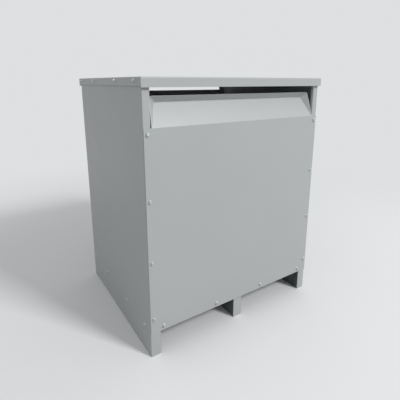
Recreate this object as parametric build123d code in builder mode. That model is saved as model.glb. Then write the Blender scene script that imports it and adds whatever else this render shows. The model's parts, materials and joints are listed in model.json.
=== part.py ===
from build123d import *

import os
from math import cos, radians, sin

# Floor-standing dry-type isolation transformer in a ventilated sheet-metal enclosure.
# Millimetres. The origin is on the floor under the middle of the enclosure,
# +X to the right along the front, +Y to the rear, +Z up.

# Enclosure
body_width = 648.0
body_depth = 540.0
overall_height = 791.0
sheet = 1.9
bend_radius = 3.0
fit_gap = 0.3

# Side panels and their corner posts
post_face = 22.2
post_return = 9.5
top_flange = 20.0
foot_width = 31.75

# Feet, base angles
rail_height = 101.6
rail_wall = 3.0
rail_corner = 4.0
foot_setback = 7.0
angle_leg = 30.0
angle_drop = 22.0
angle_wall = 3.0
anchor_hole = 14.0
anchor_inset = 45.0

# Front and rear covers, with the hooded air outlet along their top
cover_bottom = 77.5
cover_edge_gap = 1.5
bend_height = 666.0
hood_rise = 62.0
hood_lean = 36.0
hood_side_gap = 25.0
hood_mitre = 22.8
lip_rise = 15.0
lip_reach = 14.0
lip_flare = 17.4
hood_corner = 8.0

# Lid
lid_front_overhang = 8.0
lid_front_lip = 25.4
lid_side_lip = 22.2
lid_seam = 0.8

# Core of stacked laminations
limb_width = 95.0
window_width = 95.0
window_height = 250.0
stack_depth = 115.0

# Clamping channels, supports and pads that carry the core
clamp_height = 80.0
clamp_flange = 40.0
clamp_wall = 5.0
clamp_overrun = 22.0
support_height = 50.0
support_width = 50.0
support_wall = 4.0
pad_side = 50.0
pad_height = 12.0
pad_spacing = 380.0

# Windings
coil_width = 182.0
coil_depth = 240.0
coil_height = 230.0
coil_corner = 36.0
coil_bore_gap = 4.0
duct_width = 9.0
duct_inset = 24.0
duct_count = 5
duct_rib = 8.0
block_width = 28.0
block_depth = 32.0
block_spacing = 100.0

# Terminals
board_height = 64.0
board_thickness = 10.0
board_length = 470.0
bar_width = 25.0
bar_thickness = 5.0
bar_hole = 10.5
bar_hole_pitch = 28.0
bar_top_margin = 14.0
neutral_offset = 62.0
ground_bar_length = 150.0
ground_bar_width = 20.0
ground_bar_thickness = 6.0
ground_hole = 6.5
ground_hole_pitch = 30.0
ground_hole_count = 4

# Levels and planes that follow from the sizes above
half_width = body_width / 2
half_depth = body_depth / 2
lid_underside = overall_height - sheet
tab_height = rail_height + angle_wall + 2 * bend_radius
angle_bottom = rail_height - angle_drop
support_top = rail_height + support_height
core_bottom = support_top + pad_height
yoke_height = limb_width
core_height = window_height + 2 * yoke_height
core_length = 3 * limb_width + 2 * window_width
core_middle = core_bottom + core_height / 2
core_top = core_bottom + core_height
coil_pitch = limb_width + window_width
coil_bottom = core_middle - coil_height / 2
coil_top = core_middle + coil_height / 2
clamp_middle = stack_depth / 2 + clamp_flange / 2
clamp_length = core_length + 2 * clamp_overrun
board_face = stack_depth / 2 + clamp_flange + board_thickness

os.makedirs("parts", exist_ok=True)


def save_node(piece, node):
    """Label a finished piece and write it under the name of its node."""
    piece.part.label = node
    export_step(piece.part, f"parts/{node}.step")


def bent_strip(points, thickness, side):
    """Section of a folded sheet: a line with rounded bends, thickened to one side."""
    with BuildLine() as section:
        FilletPolyline(*points, radius=bend_radius)
        offset(amount=thickness, side=side)
    make_face(section.edges())


# Side panels: one sheet folded round both corners, wider at the floor to form the feet
with BuildPart() as left_side_panel:
    post_end = -half_width + post_face
    with BuildSketch(Plane.XY.offset(tab_height)):
        bent_strip(
            [
                (post_end, -half_depth + post_return),
                (post_end, -half_depth),
                (-half_width, -half_depth),
                (-half_width, half_depth),
                (post_end, half_depth),
                (post_end, half_depth - post_return),
            ],
            sheet,
            Side.RIGHT,
        )
    extrude(amount=lid_underside - tab_height)
    foot_end = -half_width + foot_width
    with BuildSketch(Plane.XY):
        bent_strip(
            [
                (foot_end, -half_depth),
                (-half_width, -half_depth),
                (-half_width, half_depth),
                (foot_end, half_depth),
            ],
            sheet,
            Side.RIGHT,
        )
    extrude(amount=tab_height)
    flange_length = body_depth - 2 * (post_return + bend_radius)
    with BuildSketch(Plane.XY.offset(lid_underside - sheet)):
        with Locations((-half_width + sheet / 2, 0)):
            Rectangle(top_flange - sheet / 2, flange_length, align=(Align.MIN, Align.CENTER))
    extrude(amount=sheet)
save_node(left_side_panel, "left_side_panel")

with BuildPart() as right_side_panel:
    mirror(left_side_panel.part, about=Plane.YZ)
save_node(right_side_panel, "right_side_panel")


# Covers: a flat sheet over the posts, folded back into a hood with a raised rim.
# The recess is the hollow of the hood. A sheet's thickness round it, cut off in the
# plane of its mouth, leaves the hood.
cover_face = half_depth + sheet
hood_foot = Vector(half_width - hood_side_gap, -cover_face, bend_height)
hood_head = hood_foot + Vector(-hood_mitre, hood_lean, hood_rise)
rim_corner = hood_head + Vector(lip_flare, -lip_reach, lip_rise)

with BuildPart() as hood_recess:
    with BuildSketch(Plane.YZ):
        with BuildLine():
            Polyline(
                (hood_foot.Y, hood_foot.Z),
                (hood_head.Y, hood_head.Z),
                (rim_corner.Y, rim_corner.Z),
                close=True,
            )
        make_face()
    extrude(amount=half_width, both=True)
    for hand in (1, -1):
        foot = Vector(hand * hood_foot.X, hood_foot.Y, hood_foot.Z)
        head = Vector(hand * hood_head.X, hood_head.Y, hood_head.Z)
        corner = Vector(hand * rim_corner.X, rim_corner.Y, rim_corner.Z)
        outward = (head - foot).cross(corner - foot) * hand
        split(bisect_by=Plane(origin=foot, z_dir=outward), keep=Keep.BOTTOM)
    fillet(hood_recess.edges().group_by(SortBy.LENGTH)[0], radius=hood_corner)

mouth_rise = rim_corner - hood_foot
hood_mouth = Plane(origin=hood_foot, z_dir=(0, -mouth_rise.Z, mouth_rise.Y))
with BuildPart() as hood:
    add(hood_recess.part)
    offset(amount=sheet, kind=Kind.ARC)
    add(hood_recess.part, mode=Mode.SUBTRACT)
    for cut in (hood_mouth, Plane.XZ.offset(cover_face)):
        split(bisect_by=cut, keep=Keep.BOTTOM)

with BuildPart() as front_cover:
    with BuildSketch(Plane.XZ.offset(half_depth)):
        with Locations((0, cover_bottom)):
            Rectangle(
                body_width - 2 * cover_edge_gap,
                bend_height - cover_bottom,
                align=(Align.CENTER, Align.MIN),
            )
    extrude(amount=sheet)
    add(hood.part)
save_node(front_cover, "front_cover")

with BuildPart() as rear_cover:
    mirror(front_cover.part, about=Plane.XZ)
save_node(rear_cover, "rear_cover")


# Lid: a folded pan, close round the side panels, with an open seam up each corner.
# Its front and rear lips stand off from the covers and reach lower than its side lips.
lid_width = body_width + 2 * (bend_radius + fit_gap)
lid_depth = body_depth + 2 * lid_front_overhang
with BuildPart() as lid:
    with BuildSketch(Plane.XY.offset(overall_height - lid_front_lip)):
        Rectangle(lid_width, lid_depth)
    extrude(amount=lid_front_lip)
    fillet(lid.faces().sort_by(Axis.Z)[-1].edges(), radius=bend_radius)
    underside = lid.faces().sort_by(Axis.Z)[0]
    offset(amount=-sheet, openings=underside)
    with BuildSketch(Plane.XY.offset(overall_height - lid_front_lip)):
        with Locations((-lid_width / 2, 0), (lid_width / 2, 0)):
            Rectangle(4 * sheet, lid_depth - 2 * sheet)
    extrude(amount=lid_front_lip - lid_side_lip, mode=Mode.SUBTRACT)
    with BuildSketch(Plane.XY.offset(overall_height - lid_front_lip)):
        with GridLocations(lid_width, lid_depth - 2 * sheet - lid_seam, 2, 2):
            Rectangle(2 * bend_radius, lid_seam)
    extrude(amount=lid_front_lip - bend_radius, mode=Mode.SUBTRACT)
save_node(lid, "lid")


# Feet: a rectangular tube under each side and one under the middle
def foot_rail(middle_x, width, length):
    """A tube that runs from front to rear and rests on the floor."""
    with BuildSketch(Plane.XZ.offset(-length / 2)) as section:
        with Locations((middle_x, rail_height / 2)):
            RectangleRounded(width, rail_height, rail_corner)
            RectangleRounded(
                width - 2 * rail_wall,
                rail_height - 2 * rail_wall,
                rail_corner - rail_wall,
                mode=Mode.SUBTRACT,
            )
    extrude(section.sketch, amount=length)


side_rail_width = foot_width - sheet
side_rail_x = half_width - sheet - side_rail_width / 2
side_rail_length = body_depth - 2 * bend_radius
anchor_y = half_depth - anchor_inset
for hand, node in ((-1, "left_foot_rail"), (1, "right_foot_rail")):
    with BuildPart() as side_rail:
        foot_rail(hand * side_rail_x, side_rail_width, side_rail_length)
        with BuildSketch(Plane.XY):
            with Locations((hand * side_rail_x, -anchor_y), (hand * side_rail_x, anchor_y)):
                Circle(anchor_hole / 2)
        extrude(amount=rail_height, mode=Mode.SUBTRACT)
    save_node(side_rail, node)

centre_rail_length = body_depth - 2 * (foot_setback + sheet)
with BuildPart() as centre_foot_rail:
    foot_rail(0, foot_width, centre_rail_length)
save_node(centre_foot_rail, "centre_foot_rail")

for hand, node in ((-1, "centre_foot_cap_front"), (1, "centre_foot_cap_rear")):
    with BuildPart() as foot_cap:
        with BuildSketch(Plane.XZ.offset(-hand * centre_rail_length / 2)):
            with Locations((0, rail_height / 2)):
                RectangleRounded(foot_width, rail_height, rail_corner)
        extrude(amount=-hand * sheet)
    save_node(foot_cap, node)


# Base angles: they tie the feet together and take the lower edge of each cover
with BuildPart() as front_base_angle:
    with BuildSketch(Plane.YZ):
        bent_strip(
            [
                (-half_depth, angle_bottom),
                (-half_depth, rail_height + angle_wall),
                (-half_depth + angle_leg, rail_height + angle_wall),
            ],
            angle_wall,
            Side.RIGHT,
        )
    extrude(amount=half_width - sheet - fit_gap, both=True)
    cope_depth = sheet + fit_gap
    with BuildSketch(Plane.XZ.offset(half_depth)):
        with Locations((-half_width, 0), (half_width, 0)):
            Rectangle(2 * (foot_width + fit_gap), 2 * tab_height)
    extrude(amount=-cope_depth, mode=Mode.SUBTRACT)
    with BuildSketch(Plane.XZ.offset(half_depth)):
        with Locations((-half_width, 0), (half_width, 0)):
            Rectangle(2 * (foot_width + fit_gap), 2 * rail_height)
    extrude(amount=-angle_leg, mode=Mode.SUBTRACT)
save_node(front_base_angle, "front_base_angle")

with BuildPart() as rear_base_angle:
    mirror(front_base_angle.part, about=Plane.XZ)
save_node(rear_base_angle, "rear_base_angle")


# Core supports: channels across the feet, open downwards
for hand, node in ((-1, "front_core_support"), (1, "rear_core_support")):
    with BuildPart() as core_support:
        near = hand * clamp_middle - support_width / 2
        far = near + support_width
        with BuildSketch(Plane.YZ):
            bent_strip(
                [(near, rail_height), (near, support_top), (far, support_top), (far, rail_height)],
                support_wall,
                Side.RIGHT,
            )
        extrude(amount=half_width - sheet - fit_gap, both=True)
    save_node(core_support, node)

# Rubber pads that keep the hum of the core out of the enclosure
for y_hand, y_name in ((-1, "front"), (1, "rear")):
    for x_hand, x_name in ((-1, "left"), (1, "right")):
        with BuildPart() as isolation_pad:
            with BuildSketch(Plane.XY.offset(support_top)):
                with Locations((x_hand * pad_spacing / 2, y_hand * clamp_middle)):
                    Rectangle(pad_side, clamp_flange)
            extrude(amount=pad_height)
        save_node(isolation_pad, f"isolation_pad_{y_name}_{x_name}")


# Core: five mitred stacks of laminations, three limbs between two yokes
def core_stack(outline):
    """Extrude a lamination outline, drawn from the front, to the depth of the stack."""
    with BuildSketch(Plane.XZ.offset(-stack_depth / 2)) as section:
        with BuildLine():
            Polyline(*outline, close=True)
        make_face()
    extrude(section.sketch, amount=stack_depth)


core_end = core_length / 2
window_low = core_bottom + yoke_height
window_high = core_top - yoke_height
for hand, node in ((-1, "core_limb_left"), (1, "core_limb_right")):
    with BuildPart() as outer_limb:
        core_stack(
            [
                (hand * core_end, core_bottom),
                (hand * core_end, core_top),
                (hand * (core_end - limb_width), window_high),
                (hand * (core_end - limb_width), window_low),
            ]
        )
    save_node(outer_limb, node)

half_limb = limb_width / 2
with BuildPart() as core_limb_centre:
    core_stack(
        [
            (-half_limb, window_low),
            (0, window_low - half_limb),
            (half_limb, window_low),
            (half_limb, window_high),
            (0, window_high + half_limb),
            (-half_limb, window_high),
        ]
    )
save_node(core_limb_centre, "core_limb_centre")

for outer, inner, lean, node in (
    (core_bottom, window_low, -1, "core_bottom_yoke"),
    (core_top, window_high, 1, "core_top_yoke"),
):
    with BuildPart() as core_yoke:
        core_stack(
            [
                (-core_end, outer),
                (core_end, outer),
                (core_end - limb_width, inner),
                (half_limb, inner),
                (0, inner + lean * half_limb),
                (-half_limb, inner),
                (limb_width - core_end, inner),
            ]
        )
    save_node(core_yoke, node)

# Core clamps: channels that grip each yoke, flanges outward
for y_hand, y_name in ((-1, "front"), (1, "rear")):
    for low, level in ((core_bottom, "lower"), (core_top - clamp_height, "upper")):
        with BuildPart() as core_clamp:
            web = y_hand * stack_depth / 2
            tip = web + y_hand * clamp_flange
            with BuildSketch(Plane.YZ):
                bent_strip(
                    [(tip, low), (web, low), (web, low + clamp_height), (tip, low + clamp_height)],
                    clamp_wall,
                    Side.LEFT if y_hand < 0 else Side.RIGHT,
                )
            extrude(amount=clamp_length / 2, both=True)
        save_node(core_clamp, f"{level}_clamp_{y_name}")


# Windings: inner and outer layers with vertical cooling ducts between them, front and rear
for place, name in ((-1, "left"), (0, "centre"), (1, "right")):
    with BuildPart() as coil:
        with BuildSketch(Plane.XY.offset(coil_bottom)):
            with Locations((place * coil_pitch, 0)):
                RectangleRounded(coil_width, coil_depth, coil_corner)
                Rectangle(
                    limb_width + 2 * coil_bore_gap,
                    stack_depth + 2 * coil_bore_gap,
                    mode=Mode.SUBTRACT,
                )
            duct_length = (limb_width - (duct_count - 1) * duct_rib) / duct_count
            duct_y = coil_depth / 2 - duct_inset - duct_width / 2
            with Locations((place * coil_pitch, -duct_y), (place * coil_pitch, duct_y)):
                with GridLocations(duct_length + duct_rib, 0, duct_count, 1):
                    Rectangle(duct_length, duct_width, mode=Mode.SUBTRACT)
        extrude(amount=coil_height)
    save_node(coil, f"coil_{name}")

# Insulating blocks that hold the windings between the clamps
lower_flange_top = core_bottom + clamp_height
upper_flange_bottom = core_top - clamp_height
for low, high, node in (
    (lower_flange_top, coil_bottom, "lower_coil_blocks"),
    (coil_top, upper_flange_bottom, "upper_coil_blocks"),
):
    with BuildPart() as coil_blocks:
        with BuildSketch(Plane.XY.offset(low)):
            for place in (-1, 0, 1):
                with Locations((place * coil_pitch, 0)):
                    with GridLocations(block_spacing, 2 * clamp_middle, 2, 2):
                        Rectangle(block_width, block_depth)
        extrude(amount=high - low)
    save_node(coil_blocks, node)


# Terminal boards on the upper clamps, with a pair of lug holes at each bar
board_middle = core_top - clamp_height / 2
bar_top = board_middle + board_height / 2
bar_holes_middle = bar_top - bar_top_margin - bar_hole_pitch / 2
phase_places = [place * coil_pitch for place in (-1, 0, 1)]
neutral_place = coil_pitch + neutral_offset - bar_width
primary_places = dict(zip(("left", "centre", "right"), phase_places))
secondary_places = dict(primary_places, neutral=neutral_place)


def lug_holes(places):
    """Two holes, one above the other, at each place along a board or on a bar."""
    for place in places:
        with Locations((place, bar_holes_middle)):
            with GridLocations(0, bar_hole_pitch, 1, 2):
                Circle(bar_hole / 2, mode=Mode.SUBTRACT)


for hand, name, places in (
    (-1, "primary", primary_places),
    (1, "secondary", secondary_places),
):
    board_back = stack_depth / 2 + clamp_flange
    with BuildPart() as terminal_board:
        with BuildSketch(Plane.XZ.offset(-hand * board_back)):
            with Locations((0, board_middle)):
                Rectangle(board_length, clamp_height)
            lug_holes(places.values())
        extrude(amount=-hand * board_thickness)
    save_node(terminal_board, f"{name}_terminal_board")
    for phase, place in places.items():
        with BuildPart() as terminal_bar:
            with BuildSketch(Plane.XZ.offset(-hand * board_face)):
                with Locations((place, coil_top)):
                    Rectangle(bar_width, bar_top - coil_top, align=(Align.CENTER, Align.MIN))
                lug_holes([place])
            extrude(amount=-hand * bar_thickness)
            upper_corners = terminal_bar.edges().filter_by(Axis.Y).group_by(Axis.Z)[-1]
            fillet(upper_corners, radius=bend_radius)
        save_node(terminal_bar, f"{name}_bar_{phase}")

# Ground bar on the front base angle
with BuildPart() as ground_bar:
    ground_x = half_width - foot_width - ground_bar_length / 2 - angle_leg
    ground_y = -half_depth + angle_leg - ground_bar_width / 2
    with BuildSketch(Plane.XY.offset(rail_height + angle_wall)):
        with Locations((ground_x, ground_y)):
            RectangleRounded(ground_bar_length, ground_bar_width, bend_radius)
            with GridLocations(ground_hole_pitch, 0, ground_hole_count, 1):
                Circle(ground_hole / 2, mode=Mode.SUBTRACT)
    extrude(amount=ground_bar_thickness)
save_node(ground_bar, "ground_bar")
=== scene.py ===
"""Looks of a floor-standing isolation transformer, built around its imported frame."""

import json
from math import cos, pi, radians

import bmesh
import bpy
from bpy.props import FloatProperty, FloatVectorProperty, IntProperty, PointerProperty
from bpy.types import NodeSocket, Operator, Panel, PropertyGroup
from mathutils import Euler, Matrix, Vector


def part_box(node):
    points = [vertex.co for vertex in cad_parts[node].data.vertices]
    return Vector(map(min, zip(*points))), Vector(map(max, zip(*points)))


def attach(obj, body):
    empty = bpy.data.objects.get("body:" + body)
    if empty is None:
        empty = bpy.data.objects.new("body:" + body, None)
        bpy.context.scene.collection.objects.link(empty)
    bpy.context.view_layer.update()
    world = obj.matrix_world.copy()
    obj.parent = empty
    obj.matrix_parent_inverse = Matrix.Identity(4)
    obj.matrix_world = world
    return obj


bl_info = {
    "name": "Isolation Transformer",
    "version": (1, 0, 0),
    "blender": (4, 5, 0),
    "location": "3D View > Sidebar > Transformer",
    "description": "Finishes, fasteners and studio for a ventilated dry-type transformer",
    "category": "Object",
}

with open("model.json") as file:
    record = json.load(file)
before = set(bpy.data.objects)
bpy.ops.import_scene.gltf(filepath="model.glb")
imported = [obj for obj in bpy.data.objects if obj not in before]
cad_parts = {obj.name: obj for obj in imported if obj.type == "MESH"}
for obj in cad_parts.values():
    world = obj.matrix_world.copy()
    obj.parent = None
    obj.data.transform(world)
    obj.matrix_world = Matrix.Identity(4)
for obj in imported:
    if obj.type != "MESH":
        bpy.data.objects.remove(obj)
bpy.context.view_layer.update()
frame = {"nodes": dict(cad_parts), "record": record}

MM = 0.001

# Sockets of the mix node in its colour mode: share, two colours and their mixture
MIX_SHARE, MIX_FIRST, MIX_SECOND, MIXED = 0, 6, 7, 2
# By how much a wave texture turns, in radians, over one unit of its scaled space
WAVE_TURN = 20.0

# Where the key light points, the way from there to it, and its distance in metres
KEY_TARGET = (0.0, 0.0, 0.4)
KEY_WAY = (0.33, -0.71, 0.61)
KEY_DISTANCE = 8.0

# The photograph's viewpoint: place in metres, angles in degrees, lens and sensor in
# millimetres
CAMERA_PLACE = (-0.6595, -1.0387, 0.7777)
CAMERA_HEADING = 33.232
CAMERA_DIP = 13.369
CAMERA_ROLL = 0.0
CAMERA_LENS = 30.518
CAMERA_SHIFT = -0.0931
CAMERA_SENSOR = 36.0

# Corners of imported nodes, in metres
SIDE_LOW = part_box("left_side_panel")[0]
COVER_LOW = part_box("front_cover")[0]
LID_LOW, LID_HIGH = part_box("lid")
CLAMP_LOW, CLAMP_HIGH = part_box("upper_clamp_rear")
LOWER_CLAMP_LOW, LOWER_CLAMP_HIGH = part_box("lower_clamp_rear")
BOARD_LOW, BOARD_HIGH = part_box("secondary_terminal_board")
PAD_LOW, PAD_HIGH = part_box("isolation_pad_rear_right")
GROUND_LOW, GROUND_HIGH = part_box("ground_bar")


def linear(code):
    """Linear colour of an sRGB hex value."""
    channels = [int(code[place:place + 2], 16) / 255 for place in (1, 3, 5)]
    return [c / 12.92 if c <= 0.04045 else ((c + 0.055) / 1.055) ** 2.4 for c in channels]


def length(label, millimetres, description):
    """A length that a user may change, kept in metres."""
    return FloatProperty(
        name=label, description=description, default=millimetres * MM, min=0.0, unit="LENGTH"
    )


def colour(label, code, description):
    """A colour that a user may change."""
    return FloatVectorProperty(
        name=label,
        description=description,
        subtype="COLOR",
        size=3,
        min=0.0,
        max=1.0,
        default=linear(code),
    )


class TransformerColours(PropertyGroup):
    """Colours of the finishes under plain white light."""

    enclosure: colour("Enclosure", "#adb1b2", "Powder coat of the panels, lid and feet")
    # The rails' primer is set very dark, partly as painted shade: it stands for the deep shade
    # under the enclosure.
    foot: colour("Foot rails", "#4d5254", "Primer of the rails inside the feet")
    screw: colour("Screw heads", "#c3c7c9", "Bright plate of the enclosure's screws")
    zinc: colour("Zinc", "#b9bdbf", "Galvanised channels and the plated bolts inside")
    rubber: colour("Rubber", "#1c1d1e", "Isolation pads")
    clamp: colour("Clamps", "#2b2d2e", "Primer of the core clamps")
    lamination: colour("Laminations", "#6b6d72", "Edges of the core steel")
    winding: colour("Windings", "#7a4f27", "Varnished paper of the coils")
    tape: colour("Tape", "#b8a47c", "Woven glass tape round the coils")
    block: colour("Blocks", "#b79f6e", "Glass laminate between coils and clamps")
    board: colour("Boards", "#8f3126", "Glass polyester of the terminal boards")
    terminal: colour("Terminals", "#d3d5d6", "Tin plate of the terminal bars")


class TransformerFasteners(PropertyGroup):
    """Sizes of the screws and bolts."""

    screw_hex: length("Screw hexagon", 8.0, "Width of a sheet screw's head across its flats")
    screw_height: length("Screw height", 3.3, "Height of a sheet screw's hexagon")
    flange_width: length("Screw flange", 11.0, "Diameter of the flange under the hexagon")
    flange_height: length("Flange height", 1.8, "Rise of that flange to the hexagon")
    screw_dish: length("Screw dish", 0.4, "Depth of the dish in the hexagon's top")
    column_inset: length("Column inset", 12.0, "From a panel's side to its column of screws")
    column_foot: length("Column foot", 45.5, "From a cover's lower edge to its first side screw")
    column_pitch: length("Column pitch", 176.0, "Between the screws of one column")
    column_count: IntProperty(
        name="Column count", description="Screws in a cover's side column", default=4, min=1
    )
    row_rise: length("Row rise", 13.5, "From a cover's lower edge to its bottom row of screws")
    row_pitch: length("Row pitch", 187.6, "Between the screws of a cover's bottom row")
    row_count: IntProperty(
        name="Row count", description="Screws in a cover's bottom row", default=4, min=1
    )
    side_level: length("Side level", 91.0, "Height of the screws low on the side panels")
    side_outer: length("Side outer", 235.0, "From the middle to a side panel's outer screws")
    side_inner: length("Side inner", 96.7, "From the middle to a side panel's inner screws")
    lid_drop: length("Lid drop", 8.5, "From the top of the lid to the screws in its side lips")
    lid_outer: length("Lid outer", 237.0, "From the middle to a side lip's outer screws")
    lid_inner: length("Lid inner", 99.0, "From the middle to a side lip's inner screws")


class TransformerCore(PropertyGroup):
    """Sizes of the bolts, spacers and tapes of the core and coils."""

    bolt_hex: length("Bolt hexagon", 17.0, "Width of a core bolt's head across its flats")
    bolt_height: length("Bolt height", 6.5, "Height of a core bolt's head and nut")
    bolt_shank: length("Bolt shank", 10.0, "Diameter of a core bolt")
    bolt_inset: length("Bolt inset", 11.0, "From a clamp's end to its core bolt")
    washer_width: length("Washer", 20.0, "Diameter of a core bolt's washer")
    washer_height: length("Washer height", 2.0, "Thickness of a core bolt's washer")
    thread_pitch: length("Thread pitch", 1.5, "Pitch of the thread below a core bolt's nut")
    thread_turns: IntProperty(
        name="Thread turns", description="Turns of thread below that nut", default=4, min=1
    )
    clamp_wall: length("Clamp wall", 5.0, "Thickness of the clamping channels")
    web_plane: length("Web plane", 57.5, "From the middle to the web of a clamping channel")
    small_hex: length("Small hexagon", 10.0, "Width of a small bolt's head across its flats")
    small_height: length("Small height", 4.0, "Height of a small bolt's head")
    small_washer: length("Small washer", 12.5, "Diameter of a small bolt's washer")
    small_washer_height: length("Small washer height", 1.2, "Thickness of that washer")
    spacer_width: length("Spacer", 14.0, "Diameter of the tubes that carry a terminal board")
    spacer_place: length("Spacer place", 221.0, "From the middle to a board's spacers")
    bar_screw_rise: length("Bar screw rise", 11.0, "From a board's lower edge to the bar screws")
    boot_margin: length("Boot margin", 5.0, "By how much a bar's boot is wider than the bar")
    boot_height: length("Boot height", 16.0, "Height of the boot at the foot of a bar")
    boot_edge: length("Boot edge", 1.5, "Radius of the boot's edges")
    ground_screw_inset: length("Ground screw inset", 10.0, "From the ground bar's ends")
    tape_width: length("Tape width", 25.0, "Width of the tape round a coil")
    tape_thickness: length("Tape thickness", 0.8, "Build of the tape round a coil")
    tape_inset: length("Tape inset", 20.0, "From a coil's ends to the middle of its end tapes")
    coil_corner: length("Coil corner", 36.0, "Radius of a coil's corners")


class TransformerStudio(PropertyGroup):
    """Floor and light around the transformer."""

    floor_radius: FloatProperty(
        name="Floor radius", description="Reach of the floor", default=30.0, unit="LENGTH"
    )
    fade_start: FloatProperty(
        name="Fade start",
        description="From the middle to where the floor begins to turn into background",
        default=0.9,
        unit="LENGTH",
    )
    fade_end: FloatProperty(
        name="Fade end",
        description="From the middle to where the floor is all background",
        default=2.4,
        unit="LENGTH",
    )
    background: colour("Background", "#dfe0e1", "Far floor and background")
    floor: colour("Floor", "#e6e7e8", "Floor near the transformer, as the camera sees it")
    floor_bounce: colour("Floor bounce", "#b0b0b0", "Floor as it lights the transformer")
    key_power: FloatProperty(
        name="Key light",
        description="Soft light from the front, high and to the right",
        default=390.0,
        unit="POWER",
    )
    key_size: FloatProperty(
        name="Key size", description="Side of the key light", default=1.5, unit="LENGTH"
    )
    fill: FloatProperty(
        name="Fill", description="Strength of the light from all round", default=0.56, min=0.0
    )


def add_node(tree, kind, inputs=None, output=0, feeds=None, **settings):
    """Add a node with its settings, fill or link its inputs, and pass on one of its outputs."""
    node = tree.nodes.new(kind)
    for name, value in settings.items():
        setattr(node, name, value)
    for socket, source in (inputs or {}).items():
        if isinstance(source, NodeSocket):
            tree.links.new(source, node.inputs[socket])
        else:
            node.inputs[socket].default_value = source
    if feeds is not None:
        tree.links.new(node.outputs[output], feeds)
    return node.outputs[output]


def start_material(name, base, constants=None):
    """A material with its plain values set on the shader's own sockets."""
    material = bpy.data.materials.new(name)
    material.use_nodes = True
    tree = material.node_tree
    shader = tree.nodes["Principled BSDF"]
    shader.inputs["Base Color"].default_value = (*base, 1.0)
    for socket, value in (constants or {}).items():
        shader.inputs[socket].default_value = value
    place = add_node(tree, "ShaderNodeTexCoord", output="Object")
    return material, tree, shader.inputs, place


def per_metre(millimetres):
    """Noise scale for patches of this size."""
    return 1.0 / (millimetres * MM)


def bands_per_metre(millimetres):
    """Wave scale for bands of this pitch."""
    return 2.0 * pi / WAVE_TURN / (millimetres * MM)


def shade(base, amount):
    """A colour made lighter or darker by a share."""
    return [min(1.0, channel * amount) for channel in base]


def drift(tree, place, size, low, high, detail=2.0, stretch=(1.0, 1.0, 1.0), feeds=None):
    """A value that drifts between two levels in patches of a size in millimetres."""
    drawn = add_node(tree, "ShaderNodeMapping", {"Vector": place, "Scale": stretch})
    noise = add_node(
        tree, "ShaderNodeTexNoise", {"Vector": drawn, "Scale": per_metre(size), "Detail": detail}
    )
    return add_node(
        tree,
        "ShaderNodeMapRange",
        {"Value": noise, "From Min": 0.3, "From Max": 0.7, "To Min": low, "To Max": high},
        feeds=feeds,
    )


def mottle(tree, place, size, base, dark, light, detail=3.0, stretch=(1.0, 1.0, 1.0), feeds=None):
    """The base colour, clouded between a darker and a lighter share of itself."""
    return add_node(
        tree,
        "ShaderNodeMix",
        {
            MIX_SHARE: drift(tree, place, size, 0.0, 1.0, detail, stretch),
            MIX_FIRST: (*shade(base, dark), 1.0),
            MIX_SECOND: (*shade(base, light), 1.0),
        },
        output=MIXED,
        feeds=feeds,
        data_type="RGBA",
    )


def streak(tree, tint, pattern, dark, light, feeds):
    """Darken and lighten a colour along a pattern of bands."""
    level = add_node(
        tree, "ShaderNodeMapRange", {"Value": pattern, "To Min": dark, "To Max": light}
    )
    return add_node(
        tree, "ShaderNodeVectorMath", {0: tint, "Scale": level}, feeds=feeds, operation="SCALE"
    )


def edge_wear_and_highlight(tree, coat, edge_colour, radius, share, feeds):
    """Mix a share of another colour in where the surface turns within a radius: edge wear on the
    primer, a painted highlight on the powder coat.
    """
    rounded = add_node(tree, "ShaderNodeBevel", {"Radius": radius * MM}, samples=4)
    flat = add_node(tree, "ShaderNodeNewGeometry", output="Normal")
    turn = add_node(
        tree,
        "ShaderNodeVectorMath",
        {0: rounded, 1: flat},
        output="Value",
        operation="DOT_PRODUCT",
    )
    edge = add_node(
        tree,
        "ShaderNodeMapRange",
        {"Value": turn, "From Min": 0.99, "From Max": 0.8, "To Min": 0.0, "To Max": share},
    )
    return add_node(
        tree,
        "ShaderNodeMix",
        {MIX_SHARE: edge, MIX_FIRST: coat, MIX_SECOND: (*edge_colour, 1.0)},
        output=MIXED,
        feeds=feeds,
        data_type="RGBA",
    )


def powder_coat(name, base):
    """Polyester powder coat on folded steel: even grey, satin, with a faint orange peel.

    Along its folds and cut edges the colour is painted lighter, a painted highlight.
    """
    material, tree, sockets, place = start_material(name, base)
    body = mottle(tree, place, 180.0, base, 0.985, 1.012)
    specks = drift(tree, place, 1.4, 0.985, 1.012, detail=1.0)
    coat = add_node(tree, "ShaderNodeVectorMath", {0: body, "Scale": specks}, operation="SCALE")
    # Painted highlight: folds and cut edges are painted 22 % lighter, to stand for the light that
    # the bends catch.
    edge_wear_and_highlight(tree, coat, shade(base, 1.22), 1.1, 0.5, sockets["Base Color"])
    drift(tree, place, 60.0, 0.42, 0.46, feeds=sockets["Roughness"])
    peel = drift(tree, place, 2.2, 0.0, 1.0, detail=1.0)
    add_node(
        tree,
        "ShaderNodeBump",
        {"Height": peel, "Distance": 0.05 * MM, "Strength": 0.35},
        feeds=sockets["Normal"],
    )
    return material


def primed_steel(name, base):
    """Shop primer on rolled steel: dull, uneven, rubbed to a paler grey along its edges."""
    material, tree, sockets, place = start_material(name, base)
    body = mottle(tree, place, 40.0, base, 0.8, 1.4, detail=4.0)
    edge_wear_and_highlight(tree, body, shade(base, 3.0), 1.5, 0.6, sockets["Base Color"])
    drift(tree, place, 9.0, 0.5, 0.68, detail=3.0, feeds=sockets["Roughness"])
    scale = drift(tree, place, 3.0, 0.0, 1.0, detail=4.0)
    add_node(
        tree,
        "ShaderNodeBump",
        {"Height": scale, "Distance": 0.12 * MM, "Strength": 0.6},
        feeds=sockets["Normal"],
    )
    return material


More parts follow.
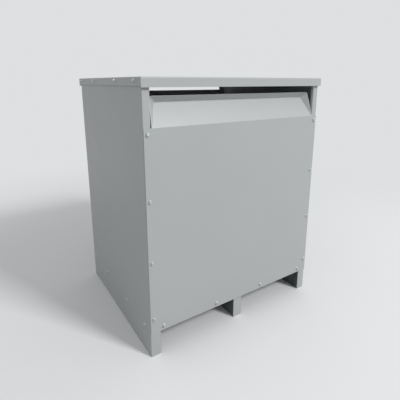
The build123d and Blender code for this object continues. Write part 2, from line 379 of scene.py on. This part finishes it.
def hot_dip_zinc(name, base):
    """Hot-dip galvanised sheet: dull metal in overlapping spangles about 9 mm wide."""
    material, tree, sockets, place = start_material(name, base, {"Metallic": 1.0})
    bent = add_node(
        tree, "ShaderNodeTexNoise", {"Vector": place, "Scale": per_metre(6.0)}, output="Color"
    )
    shifted = add_node(
        tree,
        "ShaderNodeVectorMath",
        {0: bent, 1: (3.0 * MM, 3.0 * MM, 3.0 * MM), 2: place},
        operation="MULTIPLY_ADD",
    )
    crystal = add_node(
        tree,
        "ShaderNodeTexVoronoi",
        {"Vector": shifted, "Scale": per_metre(9.0)},
        output="Color",
    )
    tilt = add_node(tree, "ShaderNodeSeparateColor", {"Color": crystal})
    dulled = mottle(tree, place, 70.0, base, 0.92, 1.05)
    streak(tree, dulled, tilt, 0.74, 1.1, sockets["Base Color"])
    add_node(
        tree,
        "ShaderNodeMapRange",
        {"Value": tilt, "To Min": 0.38, "To Max": 0.6},
        feeds=sockets["Roughness"],
    )
    add_node(
        tree,
        "ShaderNodeBump",
        {"Height": tilt, "Distance": 0.03 * MM, "Strength": 0.4},
        feeds=sockets["Normal"],
    )
    return material


def zinc_plate(name, base):
    """Zinc-plated steel: pale, a little clouded and dulled, with fine forming marks."""
    material, tree, sockets, place = start_material(name, base, {"Metallic": 1.0})
    mottle(tree, place, 4.0, base, 0.82, 1.08, feeds=sockets["Base Color"])
    drift(tree, place, 2.0, 0.46, 0.58, feeds=sockets["Roughness"])
    marks = drift(tree, place, 0.6, 0.0, 1.0)
    add_node(
        tree,
        "ShaderNodeBump",
        {"Height": marks, "Distance": 0.02 * MM, "Strength": 0.4},
        feeds=sockets["Normal"],
    )
    return material


def moulded_rubber(name, base):
    """Neoprene: matte black with a dusty bloom and moulded ribs 4 mm apart."""
    material, tree, sockets, place = start_material(name, base, {"Roughness": 0.85})
    mottle(tree, place, 14.0, base, 1.0, 2.2, detail=4.0, feeds=sockets["Base Color"])
    ribs = add_node(
        tree,
        "ShaderNodeTexWave",
        {"Vector": place, "Scale": bands_per_metre(4.0)},
        output="Fac",
        bands_direction="X",
    )
    add_node(
        tree, "ShaderNodeBump", {"Height": ribs, "Distance": 0.6 * MM}, feeds=sockets["Normal"]
    )
    return material


def stacked_laminations(name, base):
    """Varnished electrical steel: blue-grey, its edges lined by the stack of sheets.

    The real sheets are 0.3 mm thick, so they are drawn 1.4 mm apart, to show at all.
    """
    material, tree, sockets, place = start_material(name, base, {"Metallic": 0.75})
    sheets = add_node(
        tree,
        "ShaderNodeTexWave",
        {"Vector": place, "Scale": bands_per_metre(1.4), "Distortion": 0.3},
        output="Fac",
        bands_direction="Y",
    )
    rolled = mottle(tree, place, 9.0, base, 0.75, 1.2, detail=4.0, stretch=(0.12, 1.0, 1.0))
    streak(tree, rolled, sheets, 0.62, 1.1, sockets["Base Color"])
    drift(tree, place, 12.0, 0.35, 0.55, detail=3.0, feeds=sockets["Roughness"])
    add_node(
        tree,
        "ShaderNodeBump",
        {"Height": sheets, "Distance": 0.08 * MM, "Strength": 0.6},
        feeds=sockets["Normal"],
    )
    return material


def varnished_winding(name, base):
    """Paper insulation dipped in varnish: amber, with glossy runs and the turns under it."""
    material, tree, sockets, place = start_material(
        name, base, {"Coat Weight": 0.35, "Coat Roughness": 0.18}
    )
    turns = add_node(
        tree,
        "ShaderNodeTexWave",
        {"Vector": place, "Scale": bands_per_metre(5.0), "Distortion": 0.4, "Detail": 2.0},
        output="Fac",
        bands_direction="Z",
    )
    amber = mottle(tree, place, 26.0, base, 0.55, 1.35, detail=5.0, stretch=(1.0, 1.0, 0.25))
    streak(tree, amber, turns, 0.8, 1.08, sockets["Base Color"])
    drift(tree, place, 18.0, 0.35, 0.6, detail=3.0, feeds=sockets["Roughness"])
    add_node(
        tree,
        "ShaderNodeBump",
        {"Height": turns, "Distance": 0.35 * MM, "Strength": 0.7},
        feeds=sockets["Normal"],
    )
    return material


def woven_glass(name, base, thread, gloss):
    """Glass cloth under resin or varnish: its square weave shows as a fine relief."""
    material, tree, sockets, place = start_material(name, base)
    warp, weft, rise = [
        add_node(
            tree,
            "ShaderNodeTexWave",
            {"Vector": place, "Scale": bands_per_metre(thread)},
            output="Fac",
            bands_direction=direction,
        )
        for direction in ("X", "Y", "Z")
    ]
    flat = add_node(tree, "ShaderNodeMath", {0: warp, 1: weft}, operation="MAXIMUM")
    weave = add_node(tree, "ShaderNodeMath", {0: flat, 1: rise}, operation="MULTIPLY")
    resin = mottle(tree, place, 22.0, base, 0.8, 1.15, detail=4.0)
    streak(tree, resin, weave, 0.88, 1.08, sockets["Base Color"])
    drift(tree, place, 6.0, gloss, gloss + 0.15, feeds=sockets["Roughness"])
    add_node(
        tree,
        "ShaderNodeBump",
        {"Height": weave, "Distance": 0.05 * MM, "Strength": 0.5},
        feeds=sockets["Normal"],
    )
    return material


def glass_laminate(name, base):
    """Sawn glass-polyester sheet: resin over a cloth, drawn 1.6 mm a thread so that it shows."""
    return woven_glass(name, base, 1.6, 0.4)


def glass_tape(name, base):
    """Woven glass tape pulled tight and varnished: 1.2 mm threads, dull amber."""
    return woven_glass(name, base, 1.2, 0.5)


def tinned_bar(name, base):
    """Tin-plated bar: pale satin metal, drawn along its length."""
    material, tree, sockets, place = start_material(name, base, {"Metallic": 1.0})
    mottle(
        tree, place, 0.9, base, 0.86, 1.05, stretch=(1.0, 1.0, 0.03), feeds=sockets["Base Color"]
    )
    drift(tree, place, 10.0, 0.26, 0.42, detail=3.0, feeds=sockets["Roughness"])
    drawn = drift(tree, place, 0.9, 0.0, 1.0, detail=3.0, stretch=(1.0, 1.0, 0.03))
    add_node(
        tree,
        "ShaderNodeBump",
        {"Height": drawn, "Distance": 0.015 * MM, "Strength": 0.5},
        feeds=sockets["Normal"],
    )
    return material


# Each record slot, the maker of its finish, the material's name and the colour that it takes
FINISHES = {
    "enclosure_paint": (powder_coat, "GreyPowderCoat", "enclosure"),
    # The foot rails' dark primer is partly painted shade, for the shade under the enclosure.
    "foot_primer": (primed_steel, "DarkGreyPrimer", "foot"),
    "galvanised_steel": (hot_dip_zinc, "HotDipZinc", "zinc"),
    "pad_rubber": (moulded_rubber, "Neoprene", "rubber"),
    "clamp_paint": (primed_steel, "BlackPrimer", "clamp"),
    "core_laminations": (stacked_laminations, "ElectricalSteel", "lamination"),
    "coil_varnish": (varnished_winding, "VarnishedPaper", "winding"),
    "block_laminate": (glass_laminate, "GlassLaminate", "block"),
    "board_laminate": (glass_laminate, "RedPolyesterSheet", "board"),
    "terminal_aluminium": (tinned_bar, "TinnedAluminium", "terminal"),
}
# The finishes of pieces that are only in this scene
EXTRA_FINISHES = {
    "screw": (zinc_plate, "BrightZincPlate", "screw"),
    "bolt": (zinc_plate, "ZincPlate", "zinc"),
    "tape": (glass_tape, "GlassTape", "tape"),
}


def finish_of(slot):
    """The material of a record slot or of an extra finish, made once."""
    maker, name, choice = {**FINISHES, **EXTRA_FINISHES}[slot]
    base = getattr(bpy.context.scene.transformer_colours, choice)
    return bpy.data.materials.get(name) or maker(name, base)


def dress_node(node, material):
    """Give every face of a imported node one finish."""
    if not node.material_slots:
        node.data.materials.append(material)
    for place in node.material_slots:
        place.material = material


def kept_mesh(name, bm):
    """Keep a shape as a mesh that pieces are stamped from."""
    bmesh.ops.recalc_face_normals(bm, faces=bm.faces)
    mesh = bpy.data.meshes.new(name)
    bm.to_mesh(mesh)
    bm.free()
    return mesh


def turned(bm, outline, segments=28):
    """Spin an outline of (radius, height) points, from axis to axis, round the z axis."""
    verts = [bm.verts.new((radius, 0.0, height)) for radius, height in outline]
    lines = [bm.edges.new(pair) for pair in zip(verts, verts[1:])]
    bmesh.ops.spin(
        bm,
        geom=verts + lines,
        cent=(0, 0, 0),
        axis=(0, 0, 1),
        angle=2 * pi,
        steps=segments,
        use_merge=True,
    )
    bmesh.ops.remove_doubles(bm, verts=bm.verts, dist=MM / 1000)


def hexagon(bm, across_flats, height, bottom, round_off=0.07, dish=0.0):
    """A hexagon on the z axis, its rims rounded by a share of its width, and maybe dished."""
    head = bmesh.ops.create_cone(
        bm,
        cap_ends=True,
        segments=6,
        radius1=across_flats / 2 / cos(pi / 6),
        radius2=across_flats / 2 / cos(pi / 6),
        depth=height,
        matrix=Matrix.Translation((0, 0, bottom + height / 2)),
    )
    lines = {line for vert in head["verts"] for line in vert.link_edges}
    rims = [line for line in lines if abs(line.verts[0].co.z - line.verts[1].co.z) < height / 2]
    bmesh.ops.bevel(
        bm,
        geom=rims,
        offset=round_off * across_flats,
        segments=3,
        profile=0.5,
        affect="EDGES",
        material=-1,
    )
    if dish:
        bm.normal_update()
        top = bottom + height - dish / 10
        cap = [face for face in bm.faces if face.normal.z > 0.99 and face.verts[0].co.z > top]
        land = 0.12 * across_flats
        slope = 0.08 * across_flats
        bmesh.ops.inset_region(bm, faces=cap, thickness=land, depth=0.0)
        bmesh.ops.inset_region(bm, faces=cap, thickness=slope, depth=-dish)


def disc_outline(width, height, round_off):
    """Outline of a disc that stands on z = 0 with its upper edge rounded off."""
    edge = width / 2
    return [
        (0.0, 0.0),
        (edge, 0.0),
        (edge, height - round_off),
        (edge - 0.3 * round_off, height - 0.3 * round_off),
        (edge - round_off, height),
        (0.0, height),
    ]


def sheet_screw(sizes):
    """A flanged hexagon screw head that stands on z = 0."""
    bm = bmesh.new()
    edge = sizes.flange_width / 2
    rim = 0.3 * sizes.flange_height
    turned(
        bm,
        [
            (0.0, 0.0),
            (edge, 0.0),
            (edge, rim),
            (edge - 0.1 * MM, 1.5 * rim),
            (sizes.screw_hex / 2, sizes.flange_height),
            (0.0, sizes.flange_height),
        ],
    )
    low = sizes.flange_height / 2
    rise = low + sizes.screw_height
    hexagon(bm, sizes.screw_hex, rise, low, round_off=0.16, dish=sizes.screw_dish)
    return kept_mesh("sheet_screw", bm)


def bolt_head(across_flats, height, washer, thickness):
    """A washer and a hexagon bolt head that stand on z = 0."""
    bm = bmesh.new()
    turned(bm, disc_outline(washer, thickness, 0.25 * thickness))
    hexagon(bm, across_flats, height, thickness)
    return kept_mesh("bolt_head", bm)


def clamp_bolt(core, grip):
    """A bolt through two clamps: head and washer on z = 0, washer and nut below the grip."""
    head = bolt_head(core.bolt_hex, core.bolt_height, core.washer_width, core.washer_height)
    bm = bmesh.new()
    stamp(bm, head, Vector(), (0, 0, 1))
    stamp(bm, head, Vector((0, 0, -grip)), (0, 0, -1))
    crest = core.bolt_shank / 2
    root = 0.88 * crest
    pitch = core.thread_pitch
    level = -grip - core.washer_height - core.bolt_height
    outline = [(0.0, 0.0), (crest, 0.0), (crest, level)]
    for turn in range(core.thread_turns):
        outline += [(root, level - pitch / 2), (crest, level - pitch)]
        level -= pitch
    outline += [(root, level - pitch / 2), (0.0, level - pitch / 2)]
    turned(bm, outline, segments=20)
    return kept_mesh("clamp_bolt", bm)


def board_spacer(core, reach):
    """A small bolt and washer on z = 0, and under the board the tube that it clamps."""
    board = BOARD_HIGH.y - BOARD_LOW.y
    bm = bmesh.new()
    stamp(bm, small_bolt(core), Vector(), (0, 0, 1))
    edge = core.spacer_width / 2
    rim = 0.9 * edge
    turned(
        bm,
        [
            (0.0, -board),
            (rim, -board),
            (edge, -board - edge + rim),
            (edge, -reach + edge - rim),
            (rim, -reach),
            (0.0, -reach),
        ],
    )
    return kept_mesh("board_spacer", bm)


def small_bolt(core):
    """The bolt head and washer of the terminals and the ground bar."""
    return bolt_head(
        core.small_hex, core.small_height, core.small_washer, core.small_washer_height
    )


def coil_band(core, width, depth):
    """A band of tape round a coil, with its lower edge on z = 0."""
    build = core.tape_thickness
    bm = bmesh.new()
    block = bmesh.ops.create_cube(bm, size=1.0)["verts"]
    bmesh.ops.translate(bm, vec=(0.0, 0.0, 0.5), verts=block)
    size = (width + 2 * build, depth + 2 * build, core.tape_width)
    bmesh.ops.scale(bm, vec=size, verts=block)
    upright = [line for line in bm.edges if line.calc_length() <= core.tape_width + MM / 10]
    bmesh.ops.bevel(
        bm,
        geom=upright,
        offset=core.coil_corner + build,
        segments=10,
        profile=0.5,
        affect="EDGES",
        material=-1,
    )
    bm.normal_update()
    ends = [face for face in bm.faces if abs(face.normal.z) > 0.9]
    bmesh.ops.delete(bm, geom=ends, context="FACES")
    bmesh.ops.solidify(bm, geom=bm.faces[:], thickness=build)
    return kept_mesh("coil_band", bm)


def bar_boot(core, bar):
    """The moulded boot where a bar leaves its coil: a block drawn in towards its top."""
    width = bar.x + core.boot_margin
    depth = bar.y + core.boot_margin
    height = core.boot_height
    bm = bmesh.new()
    block = bmesh.ops.create_cube(bm, size=1.0)["verts"]
    bmesh.ops.translate(bm, vec=(0.0, 0.0, 0.5), verts=block)
    bmesh.ops.scale(bm, vec=(width, depth, height), verts=block)
    upper = [vert for vert in block if vert.co.z > height / 2]
    drawn_in = (0.93, 0.8, 1.0)
    bmesh.ops.scale(bm, vec=drawn_in, verts=upper)
    bmesh.ops.bevel(
        bm,
        geom=bm.edges[:],
        offset=core.boot_edge,
        segments=3,
        profile=0.5,
        affect="EDGES",
        material=-1,
    )
    return kept_mesh("bar_boot", bm)


def stamp(bm, mesh, seat, facing, turn=0.0):
    """Add a copy of a mesh that stands on z = 0, seated at a point and facing outwards."""
    start = len(bm.verts)
    bm.from_mesh(mesh)
    bm.verts.ensure_lookup_table()
    upright = Vector(facing).to_track_quat("Z", "Y").to_matrix().to_4x4()
    matrix = Matrix.Translation(seat) @ upright @ Matrix.Rotation(turn, 4, "Z")
    bmesh.ops.transform(bm, matrix=matrix, verts=bm.verts[start:])


def stamped_piece(name, mesh, seats, finish, turn=23.0, crease=35.0):
    """One piece of like parts at (point, facing) seats, each turned further than the last."""
    bm = bmesh.new()
    for count, (point, facing) in enumerate(seats):
        stamp(bm, mesh, Vector(point), facing, turn=radians(count * turn))
    whole = bpy.data.meshes.new(name)
    bm.to_mesh(whole)
    bm.free()
    whole.materials.append(finish_of(finish))
    whole.shade_smooth()
    whole.set_sharp_from_angle(angle=radians(crease))
    piece = bpy.data.objects.new(name, whole)
    bpy.context.scene.collection.objects.link(piece)
    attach(piece, "root")
    return piece


def bolted_on(name, mesh, seats):
    """A piece of zinc-plated bolts."""
    return stamped_piece(name, mesh, seats, "bolt")


def screwed_on(name, mesh, seats):
    """A piece of bright zinc-plated screws."""
    return stamped_piece(name, mesh, seats, "screw")


class TRANSFORMER_OT_finishes(Operator):
    """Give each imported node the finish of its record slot"""

    bl_idname = "transformer.finishes"
    bl_label = "Finishes"

    def execute(self, context):
        for part in frame["record"]["subparts"]:
            dress_node(frame["nodes"][part["node"]], finish_of(part["material_slot"]))
        return {"FINISHED"}


class TRANSFORMER_OT_cover_screws(Operator):
    """Screw the front and rear covers to the posts and base angles"""

    bl_idname = "transformer.cover_screws"
    bl_label = "Cover Screws"

    def execute(self, context):
        sizes = context.scene.transformer_fasteners
        head = sheet_screw(sizes)
        column_x = SIDE_LOW.x + sizes.column_inset
        spots = []
        for step in range(sizes.column_count):
            level = COVER_LOW.z + sizes.column_foot + step * sizes.column_pitch
            spots += [(column_x, level), (-column_x, level)]
        for step in range(sizes.row_count):
            x = (step - (sizes.row_count - 1) / 2) * sizes.row_pitch
            spots.append((x, COVER_LOW.z + sizes.row_rise))
        for name, side in (("front_cover_screws", -1), ("rear_cover_screws", 1)):
            face = -side * COVER_LOW.y
            screwed_on(name, head, [((x, face, level), (0, side, 0)) for x, level in spots])
        return {"FINISHED"}


class TRANSFORMER_OT_panel_screws(Operator):
    """Screw the side panels to the foot rails and the lid to the side panels"""

    bl_idname = "transformer.panel_screws"
    bl_label = "Panel and Lid Screws"

    def execute(self, context):
        sizes = context.scene.transformer_fasteners
        head = sheet_screw(sizes)
        lid_level = LID_HIGH.z - sizes.lid_drop
        for kind, face, level, outer, inner in (
            ("panel_screws", SIDE_LOW.x, sizes.side_level, sizes.side_outer, sizes.side_inner),
            ("lid_screws", LID_LOW.x, lid_level, sizes.lid_outer, sizes.lid_inner),
        ):
            for label, side in (("left", -1), ("right", 1)):
                places = (-outer, -inner, inner, outer)
                seats = [((-side * face, y, level), (side, 0, 0)) for y in places]
                screwed_on(f"{label}_{kind}", head, seats)
        return {"FINISHED"}


class TRANSFORMER_OT_core_bolts(Operator):
    """Bolt the clamps across the core, and the lower clamps down on the pads"""

    bl_idname = "transformer.core_bolts"
    bl_label = "Core Bolts"

    def execute(self, context):
        core = context.scene.transformer_core
        web_face = core.web_plane + core.clamp_wall
        bolt = clamp_bolt(core, 2 * web_face)
        end = CLAMP_HIGH.x - core.bolt_inset
        middles = [
            (low.z + high.z) / 2
            for low, high in ((CLAMP_LOW, CLAMP_HIGH), (LOWER_CLAMP_LOW, LOWER_CLAMP_HIGH))
        ]
        seats = [((x, -web_face, level), (0, -1, 0)) for x in (-end, end) for level in middles]
        bolted_on("clamp_bolts", bolt, seats)

        head = bolt_head(core.bolt_hex, core.bolt_height, core.washer_width, core.washer_height)
        pad = (PAD_LOW + PAD_HIGH) / 2
        flange_top = LOWER_CLAMP_LOW.z + core.clamp_wall
        corners = [(x, y, flange_top) for x in (-pad.x, pad.x) for y in (-pad.y, pad.y)]
        bolted_on("pad_bolts", head, [(corner, (0, 0, 1)) for corner in corners])
        return {"FINISHED"}


class TRANSFORMER_OT_terminal_fixings(Operator):
    """Fix the terminal boards on their spacers, the bars on the boards and the ground bar"""

    bl_idname = "transformer.terminal_fixings"
    bl_label = "Terminal Fixings"

    def execute(self, context):
        core = context.scene.transformer_core
        small = small_bolt(core)
        spacer = board_spacer(core, BOARD_HIGH.y - core.web_plane - core.clamp_wall)
        middle = (BOARD_LOW.z + BOARD_HIGH.z) / 2
        for name, side in (("primary", -1), ("secondary", 1)):
            facing = (0, side, 0)
            bars = [
                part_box(part["node"])
                for part in frame["record"]["subparts"]
                if part["node"].startswith(f"{name}_bar_")
            ]
            face = side * BOARD_HIGH.y
            ends = (-core.spacer_place, core.spacer_place)
            bolted_on(
                f"{name}_board_spacers", spacer, [((x, face, middle), facing) for x in ends]
            )
            level = BOARD_LOW.z + core.bar_screw_rise
            seats = []
            feet = []
            for low, high in bars:
                outer = high.y if side > 0 else low.y
                seats.append((((low.x + high.x) / 2, outer, level), facing))
                feet.append((((low.x + high.x) / 2, (low.y + high.y) / 2, low.z), (0, 0, 1)))
            bolted_on(f"{name}_bar_screws", small, seats)
            low, high = bars[0]
            boot = bar_boot(core, high - low)
            stamped_piece(f"{name}_bar_boots", boot, feet, "pad_rubber", turn=0.0)

        inset = core.ground_screw_inset
        depth = (GROUND_LOW.y + GROUND_HIGH.y) / 2
        ends = (GROUND_LOW.x + inset, GROUND_HIGH.x - inset)
        bolted_on(
            "ground_bar_screws", small, [((x, depth, GROUND_HIGH.z), (0, 0, 1)) for x in ends]
        )
        return {"FINISHED"}


class TRANSFORMER_OT_coil_tapes(Operator):
    """Bind each coil with tape at both ends and round its middle"""

    bl_idname = "transformer.coil_tapes"
    bl_label = "Coil Tapes"

    def execute(self, context):
        core = context.scene.transformer_core
        for name in ("left", "centre", "right"):
            low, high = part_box(f"coil_{name}")
            middle = (low + high) / 2
            band = coil_band(core, high.x - low.x, high.y - low.y)
            levels = (low.z + core.tape_inset, middle.z, high.z - core.tape_inset)
            seats = [
                ((middle.x, middle.y, level - core.tape_width / 2), (0, 0, 1)) for level in levels
            ]
            stamped_piece(f"coil_tapes_{name}", band, seats, "tape", turn=0.0)
        return {"FINISHED"}


def soft_light(name, place, target, size, power):
    """A square area lamp that faces a point."""
    lamp = bpy.data.lights.new(name, "AREA")
    lamp.size = size
    lamp.energy = power
    holder = bpy.data.objects.new(name, lamp)
    holder.location = place
    holder.rotation_euler = (target - place).to_track_quat("-Z", "Y").to_euler()
    bpy.context.scene.collection.objects.link(holder)
    return holder


def looked_at(tree):
    """1 for what is seen, also in a reflection or through glass, and 0 for what it lights."""
    path = [
        add_node(tree, "ShaderNodeLightPath", output=ray)
        for ray in ("Is Camera Ray", "Is Glossy Ray", "Is Transmission Ray")
    ]
    either = add_node(tree, "ShaderNodeMath", {0: path[0], 1: path[1]}, operation="MAXIMUM")
    return add_node(tree, "ShaderNodeMath", {0: either, 1: path[2]}, operation="MAXIMUM")


def pale_floor(studio):
    """Matt floor that keeps its shadow near the middle and turns into background far away."""
    material, tree, sockets, place = start_material("PaleFloor", studio.floor, {"Roughness": 0.9})
    seen = looked_at(tree)
    add_node(
        tree,
        "ShaderNodeMix",
        {
            MIX_SHARE: seen,
            MIX_FIRST: (*studio.floor_bounce, 1.0),
            MIX_SECOND: (*studio.floor, 1.0),
        },
        output=MIXED,
        feeds=sockets["Base Color"],
        data_type="RGBA",
    )
    reach = add_node(
        tree, "ShaderNodeVectorMath", {0: place}, output="Value", operation="LENGTH"
    )
    fade = add_node(
        tree,
        "ShaderNodeMapRange",
        {"Value": reach, "From Min": studio.fade_start, "From Max": studio.fade_end},
        interpolation_type="SMOOTHSTEP",
    )
    gone = add_node(tree, "ShaderNodeMath", {0: fade, 1: seen}, operation="MULTIPLY")
    glow = add_node(tree, "ShaderNodeEmission", {"Color": (*studio.background, 1.0)})
    lit = tree.nodes["Principled BSDF"].outputs["BSDF"]
    surface = tree.nodes["Material Output"].inputs["Surface"]
    add_node(tree, "ShaderNodeMixShader", {0: gone, 1: lit, 2: glow}, feeds=surface)
    return material


class TRANSFORMER_OT_studio(Operator):
    """Set the pale floor, the soft light and the camera"""

    bl_idname = "transformer.studio"
    bl_label = "Studio"

    def execute(self, context):
        scene = context.scene
        studio = scene.transformer_studio

        bm = bmesh.new()
        bmesh.ops.create_circle(bm, cap_ends=True, segments=96, radius=studio.floor_radius)
        mesh = kept_mesh("studio_floor", bm)
        mesh.materials.append(pale_floor(studio))
        floor = bpy.data.objects.new("studio_floor", mesh)
        scene.collection.objects.link(floor)

        world = bpy.data.worlds.new("studio_world")
        world.use_nodes = True
        scene.world = world
        tree = world.node_tree
        add_node(
            tree,
            "ShaderNodeMix",
            {
                MIX_SHARE: looked_at(tree),
                MIX_FIRST: (*[studio.fill] * 3, 1.0),
                MIX_SECOND: (*studio.background, 1.0),
            },
            output=MIXED,
            feeds=tree.nodes["Background"].inputs["Color"],
            data_type="RGBA",
        )

        target = Vector(KEY_TARGET)
        place = target + KEY_DISTANCE * Vector(KEY_WAY).normalized()
        soft_light("key", place, target, studio.key_size, studio.key_power)

        camera_data = bpy.data.cameras.new("camera")
        camera_data.sensor_width = CAMERA_SENSOR
        camera_data.lens = CAMERA_LENS
        camera_data.shift_y = CAMERA_SHIFT
        camera = bpy.data.objects.new("camera", camera_data)
        camera.location = CAMERA_PLACE
        camera.rotation_euler = Euler(
            (radians(90.0 - CAMERA_DIP), radians(CAMERA_ROLL), radians(-CAMERA_HEADING)), "XYZ"
        )
        scene.collection.objects.link(camera)
        scene.camera = camera
        scene.view_settings.view_transform = "Standard"
        return {"FINISHED"}


SETTINGS = {
    "transformer_colours": TransformerColours,
    "transformer_fasteners": TransformerFasteners,
    "transformer_core": TransformerCore,
    "transformer_studio": TransformerStudio,
}
STEPS = (
    TRANSFORMER_OT_finishes,
    TRANSFORMER_OT_cover_screws,
    TRANSFORMER_OT_panel_screws,
    TRANSFORMER_OT_core_bolts,
    TRANSFORMER_OT_terminal_fixings,
    TRANSFORMER_OT_coil_tapes,
    TRANSFORMER_OT_studio,
)


class TRANSFORMER_PT_sidebar(Panel):
    """Sizes, colours and steps of the transformer"""

    bl_idname = "TRANSFORMER_PT_sidebar"
    bl_label = "Isolation Transformer"
    bl_space_type = "VIEW_3D"
    bl_region_type = "UI"
    bl_category = "Transformer"

    def draw(self, context):
        for group, kind in SETTINGS.items():
            box = self.layout.box()
            for name in kind.__annotations__:
                box.prop(getattr(context.scene, group), name)
        for step in STEPS:
            self.layout.operator(step.bl_idname)


CLASSES = (*SETTINGS.values(), *STEPS, TRANSFORMER_PT_sidebar)


def register():
    """Make the settings, operators and panel known, and hang the settings on the scene."""
    for kind in CLASSES:
        bpy.utils.register_class(kind)
    for group, kind in SETTINGS.items():
        setattr(bpy.types.Scene, group, PointerProperty(type=kind))


def unregister():
    """Take away what register made."""
    for group in SETTINGS:
        delattr(bpy.types.Scene, group)
    for kind in reversed(CLASSES):
        bpy.utils.unregister_class(kind)


def main():
    """Make the settings known and build the looks in order."""
    register()
    for step in STEPS:
        getattr(bpy.ops.transformer, step.bl_idname.split(".")[1])()


if __name__ == "__main__":
    main()
